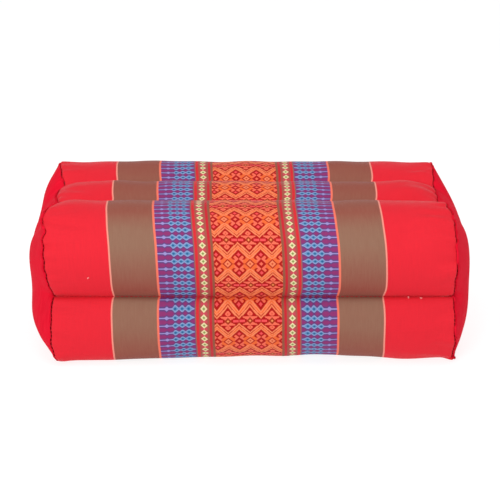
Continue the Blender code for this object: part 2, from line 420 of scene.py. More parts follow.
def drawn_in(ring, amount):
    """The ring drawn towards its own middle by an amount in metres, kept above the floor."""
    spoke = ring[:, 1:] - np.array((0.0, PANEL_MIDDLE_HEIGHT))
    moved = ring.copy()
    moved[:, 1:] -= spoke / np.linalg.norm(spoke, axis=1)[:, None] * np.reshape(amount, (-1, 1))
    moved[:, 2] = np.maximum(moved[:, 2], 0.0)
    return moved


def shifted(ring, outwards, side):
    """The ring moved along the cushion, away from its middle."""
    moved = ring.copy()
    moved[:, 0] += side * outwards
    return moved


def corner_moved(ring, side, distance=0.0):
    """The ring with its bottom front corner tucked under, and drawn out into an ear on the right."""
    moved = ring.copy()
    tuck = np.exp(-((girth_cm - TUCK_AT) / TUCK_WIDTH) ** 2 - (distance / TUCK_REACH) ** 2)
    moved[:, 0] -= side * TUCK[side] * tuck
    if side > 0:
        ear = np.exp(-((girth_cm - EAR_AT) / EAR_WIDTH) ** 2 - (distance / EAR_REACH) ** 2)
        moved[:, 0] += EAR[0] * ear
        moved[:, 1] += EAR[1] * ear
    return moved


# %% The grid of the cover
HALF_LENGTH = 0.157        # from the middle to an end seam, near enough to measure distances by
EDGE_ROUND = 0.0008        # how far the cloth's edge turns down before it dives into the crease
EDGE_ROUND_REACH = 0.0014
LUMP_SIZE = (2.2, 8.0)     # cm from one lump of the filling to the next
LUMP_HEIGHT = 0.0006
LUMP_CLEAR = 1.5           # cm from a channel seam within which the lumps die out
CAP_SHARES = (0.93, 0.84, 0.68, 0.45, 0.20)
# (how deep below the rim, how far out along the cushion) for each ring of the wrap's turned edge
WRAP_EDGE = ((EDGE_ROUND + 0.0004, 0.0), (0.0024, 0.0001), (CREASE_DEPTH, 0.0001))

middle_stations = np.linspace(0.0, 0.76, 26)
end_distances = np.array((
    0.034, 0.030, 0.026, 0.0225, 0.0195, 0.0170, 0.0148, 0.0128, 0.0110, 0.0094,
    0.0080, 0.0067, 0.0055, 0.0044, 0.0034, 0.0025, 0.0017, 0.0010, 0.0004,
))
half_stations = np.concatenate((middle_stations, 1 - end_distances / HALF_LENGTH))
stations = np.concatenate((-half_stations[:0:-1], half_stations))


def lumps(along, seed=5, count=14):
    """Where kapok has packed unevenly: how far the cloth stands out at each column, in metres."""
    draw = np.random.default_rng(seed)
    height = np.zeros(GIRTH_STEPS)
    for _ in range(count):
        turns = 2 * math.pi / draw.uniform(*LUMP_SIZE)
        slant = draw.uniform(0, math.pi)
        start = draw.uniform(0, 2 * math.pi)
        height += np.sin(turns * (CM * along * math.cos(slant) + girth_cm * math.sin(slant)) + start)
    return LUMP_HEIGHT * height / math.sqrt(count) * np.minimum(1.0, to_seam / LUMP_CLEAR)


def wrap_ring(station):
    """A ring of the wrap, with the swellings beside its end seam and its edge rounded off."""
    side = -1 if station < 0 else 1
    distance = (1 - abs(station)) * HALF_LENGTH
    ring = girth_ring(station)
    near = math.exp(-(distance / WANDER_REACH) ** 2)
    edge = EDGE_ROUND * math.exp(-distance / EDGE_ROUND_REACH)
    ring = drawn_in(ring, edge - fold_height(side, distance) - lumps(station * HALF_LENGTH))
    ring = shifted(ring, crease_wander[side] * near, side)
    return corner_moved(ring, side, distance)


def turned_edge(side):
    """The rings that take the wrap's edge down into the crease."""
    rim = corner_moved(shifted(girth_ring(side), crease_wander[side], side), side)
    return [shifted(drawn_in(rim, depth), out, side) for depth, out in WRAP_EDGE]


def cap_rings(side):
    """The rings that close the cover under an end panel."""
    rim = corner_moved(shifted(girth_ring(side, 0.0), -UNDER_PANEL, side), side)
    peak = side * (LENGTH_OVER_PANELS / 2 - UNDER_PANEL)
    return [drawn_in(crown_ring(rim, share, peak), UNDER_PANEL * share) for share in CAP_SHARES]


def loft(shape, rings, cloth=None):
    """Join the rings into bands of faces. Returns the rows of points and a function that adds a face.

    The faces can be given their places on the cloth, in a UV layer named by cloth.
    """
    layer = shape.loops.layers.uv.new(cloth) if cloth else None
    rows = [[shape.verts.new(point) for point in ring] for ring in rings]
    count = len(rows[0])

    def add(corners, columns):
        face = shape.faces.new(corners)
        if layer is None:
            return
        start = columns[0]
        for corner, column in zip(face.loops, columns):
            along = row_start[start] if column == start else row_end[start]
            corner[layer].uv = (across_cm(corner.vert.co.x, column), along)

    for row, following in zip(rows, rows[1:]):
        for k in range(count):
            after = (k + 1) % count
            add((row[k], row[after], following[after], following[k]), (k, after, after, k))
    return rows, add


def close_across(row, add):
    """Fill a ring with faces that reach straight across it, like the rungs of a ladder."""
    for k in range(len(row) // 2 - 1):
        far = len(row) - 1 - k
        add((row[k], row[k + 1], row[far - 1], row[far]), (k, k + 1, far - 1, far))


def add_object(name, data):
    """A new object in the scene, at the origin."""
    made = bpy.data.objects.new(name, data)
    bpy.context.scene.collection.objects.link(made)
    return made


def new_piece(name, shape, closed=True):
    """A bmesh as a smooth object at the origin."""
    mesh = bpy.data.meshes.new(name)
    if closed:
        bmesh.ops.recalc_face_normals(shape, faces=shape.faces[:])
    shape.to_mesh(mesh)
    shape.free()
    mesh.shade_smooth()
    return add_object(name, mesh)


left_end = turned_edge(-1) + cap_rings(-1)
right_end = turned_edge(1) + cap_rings(1)
cover_rings = left_end[::-1] + [wrap_ring(station) for station in stations] + right_end
shape = bmesh.new()
rows, add = loft(shape, cover_rings, cloth="cloth_cm")
close_across(rows[0], add)
close_across(rows[-1], add)
cover = new_piece("woven_cover", shape)
print("cover grid:", len(cover_rings), "rings of", GIRTH_STEPS, "points")

# %% [markdown]
# The kapok is pushed in until the cloth is tight, and an end seam takes in a little more cloth than
# its own length. A short cloth simulation with pressure from inside lets the cloth settle to that.
# The rings above already stand full, with their folds, so it moves little: the print says how far.
# The seams, the ends and the flat on the floor are held. The cloth's cut shape, which sets how long
# its threads are, is a little wider near the ends than the shape it starts from.

# %% Fill the cover
SPARE_CLOTH = 0.08         # share of extra cloth taken into an end seam
SPARE_REACH = 0.024
SPARE_ALONG = 0.012        # share of extra cloth along a channel seam
MOST_MOVE = 0.0020         # no point of the cloth is let go further than this
FILL_FRAMES = 20
FLOOR_TOUCH = 0.0008       # cloth lower than this rests on the floor
# the cloth's weight and stiffness, and the push of the filling
CLOTH_SETTINGS = {
    "quality": 6,
    "mass": 0.25,
    "tension_stiffness": 18.0,
    "compression_stiffness": 18.0,
    "shear_stiffness": 6.0,
    "bending_stiffness": 0.12,
    "use_pressure": True,
    "uniform_pressure_force": 4.0,
}


def held_points(place):
    """True for each point that the sewing or the floor holds still."""
    ring = np.arange(len(place)) // GIRTH_STEPS
    column = np.arange(len(place)) % GIRTH_STEPS
    first, last = len(left_end), len(left_end) + len(stations) - 1
    at_ends = (ring <= first + 1) | (ring >= last - 1)
    seams = np.cumsum([0] + [roll.steps for roll in ROLLS])[:-1]
    at_seams = np.isin(column, np.concatenate((seams, seams + 1, (seams - 1) % GIRTH_STEPS)))
    return at_ends | at_seams | (place[:, 2] < FLOOR_TOUCH)


def cut_shape(place):
    """The same points with the lengths that the cloth was cut to."""
    column = np.arange(len(place)) % GIRTH_STEPS
    to_end = np.maximum(0.0, HALF_LENGTH - np.abs(place[:, 0]))
    wider = 1 + SPARE_CLOTH * np.exp(-(to_end / SPARE_REACH) ** 2)
    cut = place.copy()
    cut[:, 1] *= wider
    cut[:, 2] = PANEL_MIDDLE_HEIGHT + (cut[:, 2] - PANEL_MIDDLE_HEIGHT) * wider
    cut[:, 0] *= 1 + SPARE_ALONG * np.exp(-(to_seam[column] / PULL_REACH) ** 2)
    return cut


def fill(piece):
    """Let the cloth of a piece settle over its filling, and keep the result in its mesh."""
    mesh = piece.data
    place = np.empty(3 * len(mesh.vertices))
    mesh.vertices.foreach_get("co", place)
    place = place.reshape(-1, 3)
    held = held_points(place)
    group = piece.vertex_groups.new(name="held")
    group.add(np.flatnonzero(held).tolist(), 1.0, "REPLACE")
    piece.shape_key_add(name="sewn")
    cut = piece.shape_key_add(name="cut")
    cut.data.foreach_set("co", cut_shape(place).ravel())
    cloth = piece.modifiers.new("filling", "CLOTH")
    settings = cloth.settings
    for name, value in CLOTH_SETTINGS.items():
        setattr(settings, name, value)
    settings.vertex_group_mass = "held"
    settings.rest_shape_key = cut
    settings.effector_weights.gravity = 0.0
    cloth.collision_settings.use_collision = False
    cloth.point_cache.frame_end = FILL_FRAMES
    scene = bpy.context.scene
    for number in range(1, FILL_FRAMES + 1):
        scene.frame_set(number)
    settled = piece.evaluated_get(bpy.context.evaluated_depsgraph_get())
    moved = np.empty(3 * len(settled.data.vertices))
    settled.data.vertices.foreach_get("co", moved)
    step = moved.reshape(-1, 3) - place
    length = np.linalg.norm(step, axis=1)
    free = 1000 * length[~held]
    print("cloth moved, mm: middle", round(float(np.median(free)), 2), "most", round(free.max(), 2))
    step *= (np.minimum(length, MOST_MOVE) / np.maximum(length, 1e-9))[:, None]
    piece.modifiers.remove(cloth)
    piece.shape_key_clear()
    piece.vertex_groups.remove(group)
    place = place + step
    place[:, 2] = np.maximum(place[:, 2], 0.0)
    mesh.vertices.foreach_set("co", place.ravel())
    mesh.update()
    scene.frame_set(1)


fill(cover)

# %% [markdown]
# The materials are written as sums. A small class stands for a number that varies over the cloth,
# and adding, multiplying or comparing two of them adds the nodes that do it. Everything else goes
# through one method that makes a node from its kind, its settings and its inputs.

# %% A shorthand for writing materials
class Number:
    """A value that varies over a surface, held as the socket of a node."""

    def __init__(self, finish, socket):
        self.finish = finish
        self.socket = socket

    def math(self, operation, *others):
        terms = dict(enumerate((self,) + others))
        made = self.finish.node("ShaderNodeMath", {"operation": operation}, terms)
        return Number(self.finish, made.outputs[0])

    def flipped(self, operation, other):
        """The same sum with the other number first."""
        made = self.finish.node("ShaderNodeMath", {"operation": operation}, {0: other, 1: self})
        return Number(self.finish, made.outputs[0])

    def __add__(self, other):
        return self.math("ADD", other)

    def __radd__(self, other):
        return self.math("ADD", other)

    def __sub__(self, other):
        return self.math("SUBTRACT", other)

    def __rsub__(self, other):
        return self.flipped("SUBTRACT", other)

    def __mul__(self, other):
        return self.math("MULTIPLY", other)

    def __rmul__(self, other):
        return self.math("MULTIPLY", other)

    def __truediv__(self, other):
        return self.math("DIVIDE", other)

    def __gt__(self, other):
        return self.math("GREATER_THAN", other)

    def __lt__(self, other):
        return self.math("LESS_THAN", other)

    def __abs__(self):
        return self.math("ABSOLUTE")

    def floor(self):
        return self.math("FLOOR")

    def mirrored(self, distance):
        """Runs up from 0 to distance and back again, over and over."""
        return self.math("PINGPONG", distance)

    def between(self, low, high):
        return (self > low) * (self < high)

    def rise(self, low, high):
        """0 below low, 1 above high, and a smooth change between them."""
        made = self.finish.node("ShaderNodeMapRange", {"interpolation_type": "SMOOTHSTEP", "clamp": True},
                                {"Value": self, "From Min": low, "From Max": high})
        return Number(self.finish, made.outputs["Result"])


class Finish:
    """A material being written, with its shader and its tree of nodes."""

    def __init__(self, name):
        self.material = bpy.data.materials.new(name)
        self.material.use_nodes = True
        self.tree = self.material.node_tree
        self.shader = self.tree.nodes["Principled BSDF"]

    def node(self, kind, settings=None, inputs=None):
        """A new node of a kind, with its settings made and its inputs set or joined."""
        made = self.tree.nodes.new(kind)
        for name, value in (settings or {}).items():
            if name == "stops":
                self.set_stops(made.color_ramp, value)
            elif name == "steps":
                made.color_ramp.interpolation = value
            else:
                setattr(made, name, value)
        for key, value in (inputs or {}).items():
            self.put(made.inputs[key], value)
        return made

    def put(self, socket, value):
        if isinstance(value, Number):
            self.tree.links.new(value.socket, socket)
        elif isinstance(value, bpy.types.NodeSocket):
            self.tree.links.new(value, socket)
        else:
            socket.default_value = value

    @staticmethod
    def set_stops(ramp, stops):
        while len(ramp.elements) < len(stops):
            ramp.elements.new(1.0)
        for element, (position, colour) in zip(ramp.elements, stops):
            element.position = position
            element.color = colour

    def number(self, kind, output, settings=None, inputs=None):
        return Number(self, self.node(kind, settings, inputs).outputs[output])

    def noise(self, across, along, scales, detail):
        """Soft noise over the cloth, with its own scale in each of the cloth's two directions."""
        place = self.node("ShaderNodeCombineXYZ", {}, {"X": across * scales[0], "Y": along * scales[1]})
        return self.number("ShaderNodeTexNoise", "Fac", {},
                           {"Vector": place.outputs[0], "Scale": 1.0, "Detail": detail})

    def mix(self, share, first, second):
        """The first colour where share is 0, the second where it is 1."""
        made = self.node("ShaderNodeMix", {"data_type": "RGBA"}, {"Factor": share, 6: first, 7: second})
        return made.outputs[2]

    def shade(self, colour, amount):
        """The colour times a varying amount of light."""
        made = self.node("ShaderNodeVectorMath", {"operation": "SCALE"}, {0: colour, "Scale": amount})
        return made.outputs[0]

    def dress(self, colour, roughness, specular, weave=None, strength=0.0):
        """Give the shader its colour and surface, and the fine relief of a weave if there is one."""
        sockets = self.shader.inputs
        self.put(sockets["Base Color"], colour)
        self.put(sockets["Roughness"], roughness)
        self.put(sockets["Specular IOR Level"], specular)
        if weave is not None:
            bump = self.node("ShaderNodeBump", {},
                             {"Strength": strength, "Distance": WEAVE_DEPTH, "Height": weave})
            self.put(sockets["Normal"], bump.outputs["Normal"])


STUDIO_LIGHT = 1.30        # how much brighter than plain white light the studio lights the front
CLOTH_GLOSS = 0.010        # white light that a cloth throws back whatever its dye
CLOTH_SPECULAR = 0.18
WEAVE_DEPTH = 0.0004       # height of the threads in a cloth's relief, metres


def dye(red, green, blue):
    """A colour as seen in the studio, 0 to 255, turned into the cloth's own colour for a shader."""
    def light(value):
        value = value / 255
        value = value / 12.92 if value <= 0.04045 else ((value + 0.055) / 1.055) ** 2.4
        return max(value - CLOTH_GLOSS, 0.002) / STUDIO_LIGHT
    return (light(red), light(green), light(blue), 1.0)


# %% [markdown]
# Across the cushion the cloth is striped: a brocaded middle, a column of small cream diamonds on
# each side, a purple band with blue figures, an olive band, and plain red out to the ends. The
# middle is a chart like a weaver's point paper, laid out by rules for its lines that were written. A
# quarter of the repeat is enough, because it mirrors both ways.

# %% The weaver's chart and its threads
THREADS = {
    "#": dye(184, 26, 24),      # ground
    "b": dye(176, 58, 34),      # outline of a flower's heart
    "o": dye(212, 74, 44),      # line inside the zigzag
    "O": dye(250, 112, 60),     # orange of the zigzag
    "L": dye(255, 142, 98),     # light edge of the zigzag
    "P": dye(255, 116, 90),     # pink of leaves and hooks
    "p": dye(250, 86, 88),      # stronger pink of bars and dots
    "Y": dye(255, 162, 96),     # heart of a flower
}
CHART = (
    "YYbbb##ppppppp#",
    "Ybbb###ppppppp#",
    "bbbPP##########",
    "bbPPPPP#######L",
    "bPPPPPPPP####LL",
    "PPPPPPPPPP##LLo",
    "P##########LLoo",
    "PPP######LLLooL",
    "oPPP####LLLooLL",
    "oPPP###LLLooLLO",
    "PPP###LLLoLLOOL",
    "PP###LLLoLLOOLL",
    "####LLLoLLOOLL#",
    "###LLooLLOOLL##",
    "##LLooLLOOLL###",
    "#LLooLLOOLL####",
    "LLooLLOLLL####p",
    "LooLLOLLL####pp",
    "ooLLOLLL####ppp",
    "LLOOLLL######pp",
    "LOOLLL###PP###p",
    "OOLLLO##OPPP###",
    "OLLLO###OPPPP##",
    "LLOOOO###PPPPP#",
    "#OOOOOO###PPPP#",
    "##OOOOOOOPPPP##",
    "L##OOOOOOPPP###",
    "LL##OOOOOPP####",
    "LLL##OOOOP####P",
    "oLLL##OOO####PP",
    "ooLLL##o####PPP",
)
CHART_COLUMNS = len(CHART[0])
CHART_ROWS = len(CHART)
COLUMN_WIDTH = 0.0618      # cm of cloth
ROW_HEIGHT = REPEAT_LENGTH / 2 / (CHART_ROWS - 1)
PANEL_OFFSET = 0.14        # the flowers' middle column against the middle of the stripes, cm
DIGITS = 5                 # chart columns held in one channel of a ramp's colour
BASE = 8                   # threads to choose from
RAMP_PARTS = 32            # a ramp holds up to 32 stops, one for each row of the chart
ROUNDING = 0.0001          # a ramp gives its colours back a little rounded


def chart_stops():
    """Each chart row as one stop of a ramp, its letters counted into the stop's three channels."""
    order = list(THREADS)
    stops = []
    for number, row in enumerate(CHART):
        channels = []
        for start in range(0, CHART_COLUMNS, DIGITS):
            letters = row[start:start + DIGITS]
            code = sum(order.index(letter) * BASE ** k for k, letter in enumerate(letters))
            channels.append(code / BASE ** DIGITS)
        stops.append((number / RAMP_PARTS, (*channels, 1.0)))
    return stops


def brocade(finish, across, along):
    """The colour of the charted middle at a place on the cloth, both in cm."""
    column = ((across - PANEL_OFFSET) / COLUMN_WIDTH).mirrored(CHART_COLUMNS - 1) + 0.5
    row = ((along - FLOWER_ROW) / ROW_HEIGHT).mirrored(CHART_ROWS - 1) + 0.5
    column = column.floor()
    found = finish.node("ShaderNodeValToRGB", {"steps": "CONSTANT", "stops": chart_stops()},
                        {"Fac": (row.floor() + 0.5) / RAMP_PARTS})
    parts = finish.node("ShaderNodeSeparateColor", {}, {"Color": found.outputs["Color"]})
    group = (column / DIGITS).floor()
    code = 0.0
    for k, channel in enumerate(("Red", "Green", "Blue")):
        code = Number(finish, parts.outputs[channel]) * group.between(k - 0.5, k + 0.5) + code
    place = column - group * DIGITS
    counted = code * float(BASE ** DIGITS) / place.flipped("POWER", float(BASE))
    digit = (counted + ROUNDING).floor().math("FLOORED_MODULO", float(BASE))
    stops = [(k / BASE, colour) for k, colour in enumerate(THREADS.values())]
    dyed = finish.node("ShaderNodeValToRGB", {"steps": "CONSTANT", "stops": stops},
                       {"Fac": (digit + 0.5) / BASE})
    return dyed.outputs["Color"]


# %% [markdown]
# The purple bands carry one figure over and over: a pale bar, a bead and three lozenges with a dark
# heart, the largest one pointing at the middle of the cushion. A figure like this is easiest as a
# profile: for each thread across the band, how many picks of blue it shows above its axis.

# %% The blue figures of the purple band
PICK = 0.0636              # one pick of the figures, cm
FIGURE_THREAD = 0.0618
PURPLE = (4.18, 6.96)      # where the band begins and ends, cm from the middle of the cloth
FIGURE_THREADS = (PURPLE[1] - PURPLE[0]) / FIGURE_THREAD
MOST_PICKS = 8.0
PALE_FROM = (29.0, 31.5)   # the threads over which the blue turns paler
# where one colour gives way to the next, in picks inside a figure's edge, or outside it if below 0
HALO = (-2.3, -0.9)
OUTLINE = (-0.25, 0.25)
INNER_EDGE = (0.5, 1.7)
HEART_EDGE = (-0.2, 0.35)
# (thread from the inner edge, half height of the blue, half height of the dark heart), in picks
FIGURE = (
    (0.0, 0.0, 0.0), (0.8, 0.7, 0.0), (1.8, 0.9, 0.0), (3.8, 1.6, 0.0), (6.0, 3.1, 0.0), (7.2, 3.8, 1.5),
    (8.6, 3.8, 1.5), (10.0, 2.8, 0.0), (11.8, 1.2, 0.0), (13.0, 1.4, 0.0), (14.6, 2.9, 0.0),
    (15.6, 3.5, 1.4), (16.8, 3.5, 1.4), (18.2, 2.5, 0.0), (19.8, 1.0, 0.0), (21.0, 1.3, 0.0),
    (23.2, 2.9, 0.0), (24.4, 3.8, 1.5), (25.8, 3.8, 1.5), (27.2, 2.2, 0.0), (28.6, 0.8, 0.0),
    (33.4, 0.7, 0.0), (34.8, 1.8, 0.0), (35.8, 2.4, 0.0), (37.0, 1.6, 0.0), (38.4, 0.7, 0.0),
    (43.6, 0.7, 0.0),
)
FIGURE_BLUE = dye(104, 152, 200)
FIGURE_EDGE = dye(158, 168, 216)
FIGURE_PALE = dye(164, 152, 214)
FIGURE_HEART = dye(48, 104, 152)
PURPLE_NEAR = dye(100, 70, 130)
PURPLE_FAR = dye(150, 58, 118)


def figured_band(finish, side, along):
    """The colour of the purple band, from the distance to the middle and the distance along."""
    thread = (side - PURPLE[0]) / FIGURE_THREAD
    pick = (along / PICK).mirrored(ROW_PITCH / PICK / 2)
    stops = [
        (at / FIGURE_THREADS, (blue / MOST_PICKS, heart / MOST_PICKS, 0.0, 1.0))
        for at, blue, heart in FIGURE
    ]
    profile = finish.node("ShaderNodeValToRGB", {"steps": "LINEAR", "stops": stops},
                          {"Fac": ((thread + 0.5).floor() + 0.01) / FIGURE_THREADS})
    parts = finish.node("ShaderNodeSeparateColor", {}, {"Color": profile.outputs["Color"]})
    reach = Number(finish, parts.outputs["Red"]) * MOST_PICKS - pick
    heart = Number(finish, parts.outputs["Green"]) * MOST_PICKS - pick
    ground = finish.mix(reach.rise(*HALO), PURPLE_FAR, PURPLE_NEAR)
    pale = thread.rise(*PALE_FROM)
    edge = finish.mix(pale, FIGURE_EDGE, FIGURE_PALE)
    blue = finish.mix(reach.rise(*INNER_EDGE), edge, finish.mix(pale, FIGURE_BLUE, FIGURE_PALE))
    figure = finish.mix(reach.rise(*OUTLINE), ground, blue)
    return finish.mix(heart.rise(*HEART_EDGE), figure, FIGURE_HEART)


# %% The column of cream diamonds
DIAMOND_MIDDLE = 3.47
DIAMOND_HALF_WIDTH = 0.275
DIAMOND_HALF_HEIGHT = 0.275
CREAM_EDGE = (0.94, 1.06)  # share of the diamond's size over which the cream ends
LEAF_EDGE = (0.08, 0.16)   # how far from its middle the green heart ends, cm
PINK_ALONG = (0.12, 0.28)  # how far from a diamond's middle the pink begins, cm
PINK_ACROSS = (0.16, 0.36)  # and how far to the side it ends
CREAM = dye(244, 226, 176)
LEAF_GREEN = dye(138, 160, 84)
MAUVE_BROWN = dye(172, 92, 78)
MAUVE_PINK = dye(216, 78, 96)


def diamond_column(finish, side, along):
    """Cream diamonds with a green heart, on a mauve ground that is pinker between them."""
    sideways = abs(side - DIAMOND_MIDDLE)
    away = along.mirrored(ROW_PITCH / 2)
    edge = sideways / DIAMOND_HALF_WIDTH + away / DIAMOND_HALF_HEIGHT
    pink = away.rise(*PINK_ALONG) * (1 - sideways.rise(*PINK_ACROSS))
    ground = finish.mix(pink, MAUVE_BROWN, MAUVE_PINK)
    cream = finish.mix(edge.rise(*CREAM_EDGE), CREAM, ground)
    heart = (sideways + away).rise(*LEAF_EDGE)
    return finish.mix(heart, LEAF_GREEN, cream)


# %% [markdown]
# The stripes lie one beside the other, from the middle outwards. Each is laid over the last one
# where the distance from the middle passes its edge. The olive band looks like shot cloth, with a
# reddish warp and an olive weft: in the photo it turns redder where the cloth curves away from the
# eye into a seam. That change comes from the angle of light and eye, and here it is painted sheen:
# it is written by the place on the roll, so it stays when the camera moves.

# %% The woven cloth
# (where a stripe begins, cm from the middle of the cloth, and its plain colour or what fills it)
STRIPE_EDGES = (
    (2.65, dye(156, 92, 70)), (2.84, dye(212, 46, 58)), (3.04, "diamonds"), (3.86, dye(226, 52, 60)),
    (4.09, dye(150, 106, 100)), (PURPLE[0], "figures"), (6.99, dye(255, 126, 104)), (7.16, "olive"),
    (10.65, dye(250, 154, 138)), (10.78, dye(240, 44, 58)),
)
OLIVE = dye(154, 114, 94)
PAINTED_SHEEN_OLIVE_RED = dye(158, 82, 70)
# (distance on the unrolled cloth in cm, how green the shot cloth looks there, 0 to 1), as painted sheen
PAINTED_SHEEN_GREENNESS = (
    (-5.6, 0.15), (-4.6, 0.05), (-3.5, 0.35), (-1.8, 0.75), (-0.6, 1.0), (0.7, 0.9), (2.7, 0.25),
    (4.6, 0.3), (7.5, 0.05), (10.6, 0.5), (11.5, 0.4), (13.2, 0.2), (16.0, 0.1), (19.9, 0.5),
    (20.8, 0.4), (22.9, 0.1), (25.0, 0.1), (28.0, 0.5), (31.0, 0.9), (36.0, 0.8), (40.0, 0.4),
    (46.0, 0.1), (54.0, 0.1), (57.0, 0.1), (58.5, 0.4), (60.3, 0.8), (62.1, 0.85), (62.8, 0.4),
)
CLOTH_START = -6.0
CLOTH_LENGTH = 70.0
EDGE_BLUR = 0.018          # threads cross over by this much where two stripes meet, cm
THREAD_PITCH = 0.045       # cm from thread to thread in the ground weave
WRAP_RELIEF = 0.35         # how strongly the threads stand out in the light
WRAP_SHEEN = 0.12
WRAP_SHEEN_SPREAD = 0.25


def plain_weave(finish, across, along, pitch):
    """Height of a plain weave, 0 to 1, from the two cloth coordinates in cm."""
    turn = math.pi / pitch
    warp = (across * turn).math("SINE")
    weft = (along * turn).math("SINE")
    return warp * weft * 0.5 + 0.5


def woven_wrap():
    """The finish of the wrap."""
    finish = Finish("woven_wrap_cloth")
    place = finish.node("ShaderNodeUVMap", {"uv_map": "cloth_cm"})
    parts = finish.node("ShaderNodeSeparateXYZ", {}, {0: place.outputs["UV"]})
    across = Number(finish, parts.outputs["X"])
    along = Number(finish, parts.outputs["Y"])
    side = abs(across)

    slub = finish.noise(across, along, (9.0, 0.8), 2.0)
    fibre = finish.noise(across, along, (3.0, 16.0), 3.0)
    cloud = finish.noise(across, along, (0.25, 0.25), 2.0)

    stops = [((at - CLOTH_START) / CLOTH_LENGTH, (green, green, green, 1.0)) for at, green in PAINTED_SHEEN_GREENNESS]
    green = finish.number("ShaderNodeValToRGB", "Color", {"steps": "LINEAR", "stops": stops},
                          {"Fac": (along - CLOTH_START) / CLOTH_LENGTH})
    # painted sheen: the shot weave's olive turns red by the place on the roll, not by the angle of view
    olive = finish.mix(green + slub * 0.30 + cloud * 0.20 - 0.25, PAINTED_SHEEN_OLIVE_RED, OLIVE)
    fillings = {
        "diamonds": diamond_column(finish, side, along),
        "figures": figured_band(finish, side, along),
        "olive": olive,
    }
    colour = brocade(finish, across, along)
    for edge, filling in STRIPE_EDGES:
        filling = fillings.get(filling, filling)
        colour = finish.mix(side.rise(edge - EDGE_BLUR, edge + EDGE_BLUR), colour, filling)

    colour = finish.shade(colour, 0.90 + 0.12 * slub + 0.10 * fibre)
    weave = plain_weave(finish, across, along, THREAD_PITCH) + fibre * 0.8 + slub * 0.5
    finish.dress(colour, 0.62 + 0.2 * fibre, CLOTH_SPECULAR, weave, WRAP_RELIEF)
    finish.put(finish.shader.inputs["Sheen Weight"], WRAP_SHEEN)
    finish.put(finish.shader.inputs["Sheen Roughness"], WRAP_SHEEN_SPREAD)
    return finish.material


cover.data.materials.append(woven_wrap())
print("nodes in the woven cloth:", len(cover.data.materials[0].node_tree.nodes))

# %% [markdown]
# Each end panel is a piece of plain red cotton. It comes up out of the crease, rounds over, and
# crowns outwards over the filling. It is built as a single surface from rings, and given its
# thickness afterwards.

# %% The end panels
PANEL_SHARES = (
    0.998, 0.993, 0.985, 0.975, 0.962, 0.947, 0.93, 0.91, 0.89, 0.865, 0.84, 0.81, 0.78, 0.745,
    0.71, 0.67, 0.63, 0.58, 0.53, 0.48, 0.42, 0.36, 0.30, 0.24, 0.18, 0.12, 0.06,
)
# (how deep below the rim, how far out along the cushion) for each ring of the panel's turned edge
PANEL_EDGE = ((CREASE_DEPTH, 0.0), (0.0026, 0.0), (0.0019, 0.0), (0.0014, 0.0001))
CREASE_GAP = 0.0009        # open space between the wrap's edge and the panel's
PANEL_SWELL = {-1: 0.0034, 1: 0.0026}
SWELL_PLACE = 2.4          # above 1, the swell is fullest nearer the rim than the middle
BULGE_START = 0.10         # share of the way to the middle over which the lumps come up
# lumps and dents of a panel: the end, where its middle lies, half its width and half its height,
# and how far it stands out, all in metres
Bulge = namedtuple("Bulge", "side y z wide high out")
PANEL_BULGES = (
    Bulge(-1, -0.030, 0.024, 0.090, 0.020, 0.0045),
    Bulge(-1, -0.030, 0.047, 0.060, 0.012, -0.0066),
    Bulge(-1, -0.026, 0.105, 0.036, 0.018, -0.0092),
    Bulge(-1, 0.050, 0.100, 0.026, 0.016, 0.0024),
    Bulge(-1, 0.022, 0.091, 0.022, 0.012, -0.0046),
    Bulge(-1, -0.047, 0.063, 0.040, 0.014, -0.0034),
    Bulge(1, -0.030, 0.024, 0.090, 0.020, 0.0012),
    Bulge(1, -0.030, 0.095, 0.035, 0.020, 0.0018),
)
PANEL_EDGE_DROP = 0.0010   # how far the panel's edge lies below the wrap's
PANEL_EDGE_REACH = 0.026   # share of the way to the middle over which it comes level
PANEL_FOLD_HEIGHT = 0.0008
PANEL_FOLD_UP = 0.6        # share of that by which a fold stands away from the panel's middle
PANEL_FOLD_OUT = 0.8       # and share by which it stands out along the cushion
PANEL_FOLD_REACH = 0.13    # share of the way to the middle over which the folds die out


def bulge_out(side, ring):
    """How far a panel's lumps and dents move each point of a ring outwards, in metres."""
    out = 0
    for lump in PANEL_BULGES:
        if lump.side == side:
            aside = (ring[:, 1] - lump.y) / lump.wide
            above = (ring[:, 2] - lump.z) / lump.high
            out = out + lump.out * np.exp(-aside ** 2 - above ** 2)
    return out


def panel_rings(side):
    """The rings of a panel, from inside the crease to its middle."""
    rim = shifted(girth_ring(side, PANEL_PINCH), crease_wander[side] + CREASE_GAP, side)
    rim = corner_moved(rim, side)
    peak = side * (LENGTH_OVER_PANELS / 2)
    rings = [shifted(drawn_in(rim, depth), out, side) for depth, out in PANEL_EDGE]
    for share in PANEL_SHARES:
        drop = PANEL_EDGE_DROP * math.exp(-(1 - share) / PANEL_EDGE_REACH)
        fade = math.exp(-((1 - share) / PANEL_FOLD_REACH) ** FADE_POWER)
        height = PANEL_FOLD_HEIGHT * fade * (folds[side].swelling - folds[side].swelling.mean())
        ring = drawn_in(crown_ring(rim, share, peak), drop - PANEL_FOLD_UP * height)
        bulge = bulge_out(side, ring) * share ** 2 * min(1.0, (1 - share) / BULGE_START)
        swell = PANEL_SWELL[side] * math.sin(math.pi * share ** SWELL_PLACE)
        ring = shifted(ring, PANEL_FOLD_OUT * height + bulge + swell, side)
        ring[:, 0] = side * np.minimum(side * ring[:, 0], abs(peak))
        rings.append(ring)
    return rings, Vector((peak, 0.0, PANEL_MIDDLE_HEIGHT))


def end_panel(name, side):
    """One end panel as a single surface that faces outwards."""
    rings, middle = panel_rings(side)
    shape = bmesh.new()
    rows, add = loft(shape, rings)
    tip = shape.verts.new(middle)
    for k, point in enumerate(rows[-1]):
        after = (k + 1) % GIRTH_STEPS
        add((point, rows[-1][after], tip), (k, after, k))
    shape.normal_update()
    if sum(face.normal.x * face.calc_area() for face in shape.faces) * side < 0:
        bmesh.ops.reverse_faces(shape, faces=shape.faces[:])
    return new_piece(name, shape, closed=False)


panels = {"left": end_panel("panel_left", -1), "right": end_panel("panel_right", 1)}

